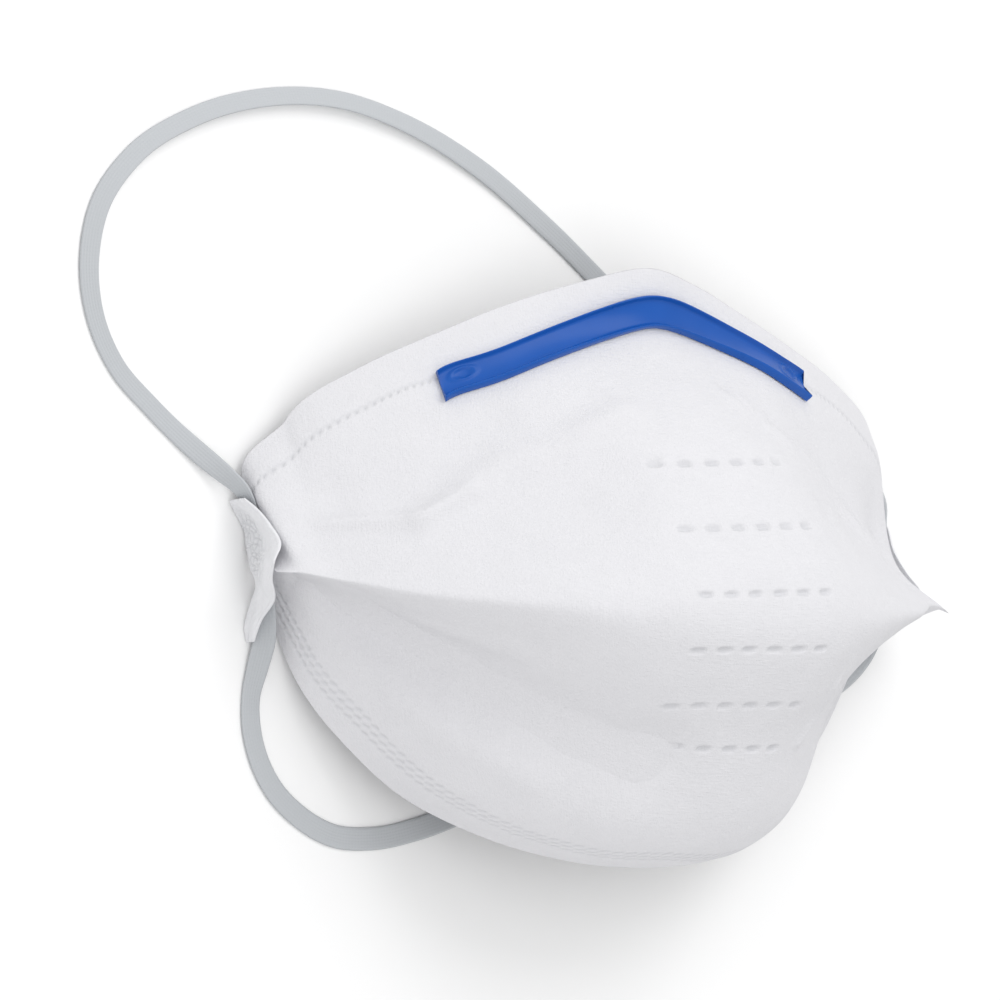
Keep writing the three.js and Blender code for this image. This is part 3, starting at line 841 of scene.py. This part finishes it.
relief = soft_dents() * HILL_HEIGHT
for crease in CREASES:
    relief = relief + crease["height"] * along_line(crease["stops"], crease["width"])
calm_rims = smooth_edge(CALM_RIM - down_at, CALM_SOFTNESS)
calm_rims = calm_rims * smooth_edge(CALM_RIM - from_chin_rim, CALM_SOFTNESS)
calm_ears = np.clip((LAST - np.abs(column_at)) / TIP_CALM, 0, 1)[None, :]
relief = relief * calm_rims * calm_ears
relief = relief - DASH_DEPTH * dashes - calm_ears * (CRIMP_DEPTH * crimp + WELD_DEPTH * welds)
relief = relief * (1 - pressed_by_clip) - CLIP_REST_DEPTH * pressed_by_clip
print("relief from", round(float(relief.min()), 2), "to", round(float(relief.max()), 2), "mm")

# %% [markdown]
# ## The nonwoven's finish
# The cloth is a mat of fine white fibres, pressed but not woven. It scatters light, so it is dull
# and slightly soft, and its fibres lie in every direction. Two stretched noises, one turned against
# the other, give short crossing hairs. Where the press has welded the cloth it is greyer and
# smoother, and the mark kept for each point says where that is.

# %% Make the nonwoven's finish
CLOTH_WHITE = (0.79, 0.785, 0.81, 1)
CLOTH_THIN = (0.66, 0.66, 0.685, 1)
WELD_GREY = (0.50, 0.51, 0.53, 1)
HAIR_LONG, HAIR_FINE = 350, 2600


def cloudy(material, place, scale, detail, roughness=0.5):
    """A soft noise at a place."""
    sizes = {"Scale": scale, "Detail": detail, "Roughness": roughness}
    return add_node(material, "ShaderNodeTexNoise", Vector=place, **sizes).outputs[0]


def fibres(material, place, turn, stretch):
    """Short hairs that lie one way: a noise squeezed across them."""
    mapping = add_node(material, "ShaderNodeMapping", Vector=place, Rotation=turn, Scale=stretch)
    return cloudy(material, mapping.outputs[0], 1.0, 4.0, 0.6)


def nonwoven_finish(name, white, thin):
    """Pressed white fibres, greyer and smoother where the mark says that the cloth is welded."""
    material, shader = plain_node_material(name)
    place = add_node(material, "ShaderNodeTexCoord").outputs["Object"]
    one_way = fibres(material, place, (0.4, 0.3, 0.6), (HAIR_LONG, HAIR_FINE, HAIR_FINE))
    other_way = fibres(material, place, (1.2, 0.9, 2.1), (HAIR_FINE, HAIR_LONG, HAIR_FINE))
    mat = plus(material, one_way, other_way)
    cloud = cloudy(material, place, 190.0, 6.0, 0.7)
    colour = mix_colours(material, times(material, plus(material, mat, cloud), 0.34), thin, white)
    pressed = add_node(material, "ShaderNodeAttribute", {"attribute_name": "pressed"}).outputs["Fac"]
    colour = mix_colours(material, times(material, pressed, 0.55), colour, WELD_GREY)
    join(material, colour, shader.inputs["Base Color"])
    free = calculate(material, "SUBTRACT", 1.0, times(material, pressed, 0.8))
    height = times(material, plus(material, mat, times(material, cloud, 1.4)), free)
    bump = add_node(material, "ShaderNodeBump", Strength=0.5, Distance=0.0004, Height=height)
    join(material, bump.outputs[0], shader.inputs["Normal"])
    join(material, from_to(material, pressed, 0.88, 0.5), shader.inputs["Roughness"])
    shader.inputs["Specular IOR Level"].default_value = 0.25
    shader.inputs["Sheen Weight"].default_value = 0.12
    shader.inputs["Sheen Roughness"].default_value = 0.6
    return material


cloth_finish = nonwoven_finish("pressed_nonwoven", CLOTH_WHITE, CLOTH_THIN)
print("made the finish", cloth_finish.name)

# %% [markdown]
# ## The filter body
# One closed skin: the marked outer side, a plainer inner side, and a rounded edge between them along
# both rims. The inner side stands one cloth thickness in, and further in at the ears, where the real
# sheet is pinched together. Only the outer side carries the welds and creases.

# %% Build the body
WALL, PINCH = 1.8, 4.0
HALF_SIZES = np.array([86, 61.5, 71.0])
INNER_ROWS = 56
RIM_ROUND = 0.25
DASH_GREY, CRIMP_GREY, WELDED_GREY = 0.6, 0.9, 0.6


def inner_side(outer):
    """Every few rows of the outer side, moved in by the cloth's thickness."""
    picked = np.unique(np.round(np.linspace(0, len(outer) - 1, INNER_ROWS)).astype(int))
    shrink = 1 - np.array([PINCH, WALL, WALL]) / HALF_SIZES
    return outer[picked] * shrink, picked


def build_body():
    """The closed skin of the cup: outer side, inner side and the rounded edge between them."""
    outer = cloth + outward * relief[..., None]
    outer[..., 2] = np.maximum(outer[..., 2], 0)
    inner, picked = inner_side(cloth)
    rows, columns = outer.shape[:2]
    middle_of_rims = [
        (outer[rim] + inner[rim]) / 2 - unit(outer[beyond] - outer[rim]) * RIM_ROUND
        for rim, beyond in ((0, 1), (-1, -2))
    ]
    points = np.concatenate([outer.reshape(-1, 3), inner.reshape(-1, 3), *middle_of_rims])
    points[:, 2] = np.maximum(points[:, 2], 0)
    first_inner = rows * columns
    first_rim = first_inner + len(inner) * columns
    faces = list(grid_faces(rows, columns, turned=True)) + list(grid_faces(len(inner), columns, first_inner))
    c = np.arange(columns - 1)
    last_outer, last_inner = (rows - 1) * columns, first_inner + (len(inner) - 1) * columns
    last_rim = first_rim + columns
    strips = [(0, first_rim), (first_rim, first_inner), (last_rim, last_outer), (last_inner, last_rim)]
    for one, other in strips:
        faces += list(np.stack([one + c, one + c + 1, other + c + 1, other + c], 1))
    pressed = np.maximum(np.maximum(dashes * DASH_GREY, crimp * CRIMP_GREY), welds * WELDED_GREY) * calm_ears
    marks = np.concatenate([pressed.ravel(), np.zeros(len(points) - rows * columns)])
    return new_piece("filter_cup", points, faces, cloth_finish, marks={"pressed": marks})


filter_cup = build_body()

CUP_MERGE, FINE_MERGE = 0.00001, 0.000001


def weld_ends(piece, distance):
    """Merges the points that meet at the ears, so the skin is closed."""
    work = bmesh.new()
    work.from_mesh(piece.data)
    bmesh.ops.remove_doubles(work, verts=work.verts, dist=distance)
    bmesh.ops.recalc_face_normals(work, faces=work.faces)
    work.to_mesh(piece.data)
    work.free()


weld_ends(filter_cup, CUP_MERGE)
put_in_frame(filter_cup, "filter_body")
surface = sum(polygon.area for polygon in filter_cup.data.polygons)
# The cloth doesn't stretch, so its cut is the plain sheet before any crease or weld.
fold_run = float(np.linalg.norm(np.diff(edge_points(FOLD, column_at), axis=0), axis=1).sum())
print("outer and inner surface together", round(surface / MILLIMETRE**2), "mm2")

# %% [markdown]
# ## The nose clip
# A strip of blue plastic with a flat middle and a raised round bead along each long edge, like a
# shallow gutter. It bends by hand, so it follows the cup over the nose. Its section is drawn once and
# carried along the sheet, a little in from the nose rim. Near each end a small oval is pressed in.

# %% The clip's finish
CLIP_BLUE = (0.006, 0.080, 0.37, 1)
CLIP_PALE = (0.012, 0.098, 0.43, 1)


def clip_finish():
    """Smooth blue plastic with a faint grain."""
    material, shader = plain_node_material("blue_clip_plastic")
    place = add_node(material, "ShaderNodeTexCoord").outputs["Object"]
    cloud = cloudy(material, place, 120.0, 3.0)
    join(material, mix_colours(material, cloud, CLIP_BLUE, CLIP_PALE), shader.inputs["Base Color"])
    grain = cloudy(material, place, 2500.0, 2.0)
    bump = add_node(material, "ShaderNodeBump", Strength=0.06, Distance=0.0001, Height=grain)
    join(material, bump.outputs[0], shader.inputs["Normal"])
    join(material, from_to(material, cloud, 0.24, 0.34), shader.inputs["Roughness"])
    shader.inputs["Specular IOR Level"].default_value = 0.22
    return material


clip_plastic = clip_finish()

# %% The clip's shape
CLIP_HALF_WIDTH = 3.55
CLIP_SEAT = 0.2
CLIP_STEPS = 170
TOP_POINTS, UNDER_POINTS = 37, 9
TOP_MIDDLE, TOP_LAST = TOP_POINTS // 2, TOP_POINTS - 1
BEAD_AT, BEAD_WIDTH, BEAD_HEIGHT = 0.86, 0.11, 1.15
FLOOR_HEIGHT, FLOOR_HOLLOW, CLIP_EDGE = 0.5, 0.4, 12
UNDER_SHARE = 0.97
DIMPLES = (-2.82, 2.55)
DIMPLE_LENGTH, DIMPLE_WIDTH, DIMPLE_OFF = 2.6, 1.3, 0.6
DIMPLE_RIM, DIMPLE_RIM_WIDTH, DIMPLE_DEPTH = 0.28, 0.22, 0.2
CLIP_SOFT_EDGE = 0.00022


def gutter_section():
    """Points round the clip's section: place across it and height above its seat."""
    across = np.linspace(-1, 1, TOP_POINTS)
    bead = np.exp(-(((np.abs(across) - BEAD_AT) / BEAD_WIDTH) ** 2))
    edge = np.sqrt(np.clip(1 - np.abs(across) ** CLIP_EDGE, 0, 1))
    top = (FLOOR_HEIGHT + FLOOR_HOLLOW * across**2 + BEAD_HEIGHT * bead) * edge
    upper = np.stack([across * CLIP_HALF_WIDTH, top], 1)
    under_across = np.linspace(UNDER_SHARE, -UNDER_SHARE, UNDER_POINTS)
    under = np.stack([under_across * CLIP_HALF_WIDTH, np.zeros(UNDER_POINTS)], 1)
    return np.concatenate([upper, under])


def clip_rings():
    """The section carried along the sheet, and the distance along the clip for each of its places."""
    section = gutter_section()
    at = np.linspace(CLIP_FROM, CLIP_TO, CLIP_STEPS + 1)
    inset = clip_line(at)
    spread = inset[:, None] - section[None, :, 0]
    seat = on_sheet(at, spread)
    flat_out = unit(np.cross(np.gradient(seat[:, TOP_MIDDLE], axis=0), seat[:, 0] - seat[:, TOP_LAST]))
    flat_out *= np.sign(flat_out[:, 2:3])
    height = np.broadcast_to(section[:, 1], spread.shape).copy()
    length_at = chain_knots(seat[:, TOP_MIDDLE])
    for dimple in DIMPLES:
        centre = np.interp(dimple, at, length_at)
        lengthwise = (length_at[:, None] - centre) / DIMPLE_LENGTH
        crosswise = (section[None, :, 0] - DIMPLE_OFF) / DIMPLE_WIDTH
        oval = np.sqrt(lengthwise**2 + crosswise**2)
        raised = DIMPLE_RIM * np.exp(-(((oval - 1) / DIMPLE_RIM_WIDTH) ** 2))
        sunk = DIMPLE_DEPTH * smooth_edge(oval - 0.8, 0.1)
        height += (raised - sunk) * (section[None, :, 1] > 0)
    rings = seat + flat_out[:, None] * (height + CLIP_SEAT)[..., None]
    return rings, length_at


def build_clip():
    """The clip as one closed mesh, with its cut ends softened."""
    rings, length_at = clip_rings()
    rows, columns = rings.shape[:2]
    faces = list(grid_faces(rows, columns, wrapped=True))
    middle_ends = [rings[0].mean(0), rings[-1].mean(0)]
    points = np.concatenate([rings.reshape(-1, 3), middle_ends])
    for end, first, turned in ((0, 0, False), (1, (rows - 1) * columns, True)):
        hub = rows * columns + end
        for c in range(columns):
            face = (hub, first + c, first + (c + 1) % columns)
            faces.append(face[::-1] if turned else face)
    clip = new_piece("bent_nose_clip", points, faces, clip_plastic)
    weld_ends(clip, FINE_MERGE)
    edges = clip.modifiers.new("softened_ends", "BEVEL")
    edges.width = CLIP_SOFT_EDGE
    edges.segments = 2
    edges.limit_method = "ANGLE"
    edges.angle_limit = 1.0
    put_in_frame(clip, "nose_clip")
    print("the clip is", round(float(length_at[-1])), "mm long")


build_clip()

# %% [markdown]
# ## The ear tabs
# At each ear the cloth's side seam ends in a small leaf-shaped flap, folded back over the ends of
# the headbands and welded down with a crossed pattern. The flap is thin, stiff from the weld, and a
# little wrinkled. It is drawn as a strip from its nose end to its chin end, with relief for the
# crossed welds and a few sharp wrinkles. Each row of a table gives how far towards the nose it lies,
# then the place out from the middle and the height of the flap's low edge, and the same of its high
# edge.

# %% Tables of the two tabs, in millimetres
LEFT_TAB = [
    (8, 85.5, 0.6, 86, 6), (6, 84, 0.3, 85, 8.4), (2, 81.4, 0.3, 83.9, 12.2), (-2, 81, 1, 84.3, 16),
    (-6, 80.8, 2.2, 87.3, 18), (-9, 80.4, 3.6, 85.3, 14.8), (-13, 79.8, 1.2, 81.6, 11),
    (-17, 80.4, 0.3, 80.9, 6), (-21, 79.8, 0, 80, 2.6),
]
RIGHT_TAB = [
    (9, 80.7, 0, 80.9, 2.6), (6.5, 80.6, 0, 81, 4.2), (2, 80.4, 0.4, 81, 6.6), (-2, 80.2, 1.2, 82.2, 9.4),
    (-6, 80.4, 2.8, 84, 12.4), (-9, 80.4, 4, 84.3, 11.6), (-12, 80.1, 2.4, 81.6, 9.4),
    (-14.5, 80, 1.6, 80.4, 6.5), (-16.5, 79.8, 0.8, 79.9, 4),
]
TAB_WALL = 0.6
TAB_ROWS, TAB_COLUMNS = 150, 70
TIP_HEIGHT = 18.0
TAB_WHITE = (0.84, 0.84, 0.86, 1)
TAB_THIN = (0.74, 0.745, 0.77, 1)
tab_finish = nonwoven_finish("welded_tab_nonwoven", TAB_WHITE, TAB_THIN)
print("left tab has", len(LEFT_TAB), "rows and right tab", len(RIGHT_TAB))

# %% The tabs' welds and wrinkles
CROSS_SLANT, CROSS_TURN, CROSS_SWAY = 11, 3.4, 5
CROSS_SHARPNESS, CROSS_LEVEL = 1.8, 0.8
WINDOW_MIDDLE, WINDOW_HALF, WINDOW_EASE = -1.5, 7, 0.8
WINDOW_AT, WINDOW_SHARE, WINDOW_SHARE_EASE = 0.3, 0.26, 0.05
RIM_SHARE, RIM_EASE = 0.06, 0.03
PLAIN_PRESS, CROSS_DEPTH = 0.45, 0.28
WRINKLE_HEIGHT, SWAY_HEIGHT = 0.5, 0.6


def wander(rows, share, along, over, seed):
    """A slow noise over the flap."""
    return np.array([[noise.noise(Vector((a * along, b * over, seed))) for b in share] for a in rows])


def tab_relief(rows, share):
    """Crossed welds in the middle of the flap and small wrinkles round them."""
    y = rows[:, None]
    place = share[None, :]
    sway = wander(rows, share, 0.5, 5, 9.0)
    one = np.sin((y + place * CROSS_SLANT) * CROSS_TURN + sway * CROSS_SWAY)
    other = np.sin((y - place * CROSS_SLANT) * CROSS_TURN + sway * CROSS_SWAY)
    crossed = np.clip(np.maximum(one, other) * CROSS_SHARPNESS - CROSS_LEVEL, 0, 1)
    window = smooth_edge(np.abs(y - WINDOW_MIDDLE) - WINDOW_HALF, WINDOW_EASE)
    window = window * smooth_edge(np.abs(place - WINDOW_AT) - WINDOW_SHARE, WINDOW_SHARE_EASE)
    welded = crossed * window
    wrinkle = wander(rows, share, 0.3, 4, 4.0)
    rim = smooth_edge(-np.minimum(place, 1 - place) + RIM_SHARE, RIM_EASE)
    lift = -CROSS_DEPTH * welded + (WRINKLE_HEIGHT * wrinkle + SWAY_HEIGHT * sway * window) * rim
    return np.maximum(welded, PLAIN_PRESS * window), lift


# %% Build the two tabs
END_STEP, EDGE_ROUND, EDGE_SHARE = 0.2, 0.5, 0.35


def tab_edges(table):
    """The flap's low and high edge at many rows, from its nose end to its chin end."""
    toward_nose, low_out, low_up, high_out, high_up = np.array(table, float).T
    knots = -toward_nose
    at = np.linspace(knots[0], knots[-1], TAB_ROWS)
    low = np.stack([curve(knots, low_out, at), -at, curve(knots, low_up, at)], 1)
    high = np.stack([curve(knots, high_out, at), -at, curve(knots, high_up, at)], 1)
    return at, low, high


def tab_faces():
    """Faces of the inner and outer side, and of the edge all round between them."""
    count = TAB_ROWS * TAB_COLUMNS
    faces = list(grid_faces(TAB_ROWS, TAB_COLUMNS))
    faces += list(grid_faces(TAB_ROWS, TAB_COLUMNS, count, turned=True))
    ring = list(range(TAB_COLUMNS))
    ring += [r * TAB_COLUMNS + TAB_COLUMNS - 1 for r in range(1, TAB_ROWS)]
    ring += list(range(count - 2, count - TAB_COLUMNS - 1, -1))
    ring += [r * TAB_COLUMNS for r in range(TAB_ROWS - 2, 0, -1)]
    faces += [(a, b, b + count, a + count) for a, b in zip(ring, ring[1:] + ring[:1])]
    return faces


def ear_tab(piece_name, node, table, side):
    """A thin welded flap beside one ear."""
    at, low, high = tab_edges(table)
    widths = np.linalg.norm(high - low, axis=1)
    share = np.linspace(0, 1, TAB_COLUMNS)
    inside = low[:, None] * (1 - share[None, :, None]) + high[:, None] * share[None, :, None]
    rise = unit(high - low)
    out = unit(np.stack([rise[:, 2], 0 * at, -rise[:, 0]], 1))
    welded, lift = tab_relief(-at, share)
    edge = np.minimum(share, 1 - share) * widths[:, None]
    ends = np.minimum(np.arange(TAB_ROWS), np.arange(TAB_ROWS)[::-1])[:, None] * END_STEP
    near_edge = 1 - np.minimum(edge, ends) / EDGE_ROUND
    thickness = TAB_WALL * (EDGE_SHARE + (1 - EDGE_SHARE) * np.sqrt(1 - np.clip(near_edge, 0, 1) ** 2))
    outside = inside + out[:, None] * (thickness + lift)[..., None]
    both = np.stack([inside, outside])
    both = both + TIP_SKEW * (side * both[..., 2:3] / TIP_HEIGHT)
    both[..., 0] *= side
    both[..., 2] = np.maximum(both[..., 2], 0)
    marks = {"pressed": np.concatenate([np.zeros(welded.size), welded.ravel()])}
    tab = new_piece(piece_name, both.reshape(-1, 3), tab_faces(), tab_finish, marks=marks)
    weld_ends(tab, FINE_MERGE)
    put_in_frame(tab, node)


ear_tab("left_ear_tab", "left_tab", LEFT_TAB, -1)
ear_tab("right_ear_tab", "right_tab", RIGHT_TAB, 1)

# %% [markdown]
# ## Finish
# The last step brings the scene up to date.

# %% Finish
bpy.context.view_layer.update()
